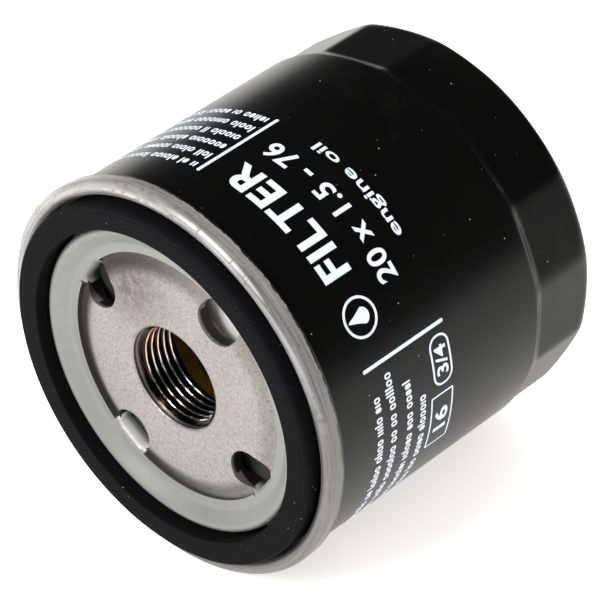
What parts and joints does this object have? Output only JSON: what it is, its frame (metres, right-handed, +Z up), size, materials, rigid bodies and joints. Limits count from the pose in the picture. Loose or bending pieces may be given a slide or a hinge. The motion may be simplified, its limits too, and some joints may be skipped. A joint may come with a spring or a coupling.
{
  "type": "spin-on oil filter",
  "caption": "Spin-on oil filter: drawn can with wrench flats, rolled seam, threaded base plate with oil inlets, sealing gasket, pleated element and bypass valve.",
  "frame": {"origin": "on the filter's axis, in the plane of the gasket's sealing face", "axes": "+Y along the filter's axis, into the can towards the closed end; +Z up as the filter lies on its side"},
  "size_m": [0.0782, 0.0743, 0.0782],
  "materials": {
    "black_paint": "gloss",
    "tinned_steel": "satin",
    "plate_steel": "pickled, fine grain",
    "gasket_rubber": "matte",
    "sealant": "matte",
    "valve_silicone": "matte",
    "yellow_zinc": "passivated",
    "zinc_steel": "satin",
    "potting": "matte",
    "filter_paper": "resin-treated paper",
    "spring_steel": "bright",
    "seal_rubber": "matte",
    "print_ink": "screen print"
  },
  "bodies": {
    "housing": {"can": "black_paint", "seam_lid": "tinned_steel", "seam_sealant": "sealant", "thread_plate": "plate_steel", "gasket": "gasket_rubber", "anti_drain_valve": "valve_silicone", "support_spring": "spring_steel"},
    "element": {"top_cap": "yellow_zinc", "bottom_cap": "zinc_steel", "top_potting": "potting", "bottom_potting": "potting", "filter_media": "filter_paper", "media_clip": "zinc_steel", "centre_tube": "zinc_steel", "bypass_seat": "zinc_steel", "bypass_cage": "zinc_steel", "bypass_spring": "spring_steel", "spring_cup": "yellow_zinc"},
    "bypass": {"bypass_poppet": "zinc_steel", "bypass_seal": "seal_rubber"}
  },
  "joints": [
    {"name": "element_slide", "type": "slide", "parent": "housing", "child": "element", "axis": [0, 1, 0], "range_m": [0, 0.001], "stiffness_N_per_m": 6000, "springref_m": -0.006, "deforming": ["support_spring"]},
    {"name": "bypass_slide", "type": "slide", "parent": "element", "child": "bypass", "axis": [0, -1, 0], "range_m": [0, 0.003], "stiffness_N_per_m": 2500, "springref_m": -0.004, "deforming": ["bypass_spring"]}
  ]
}
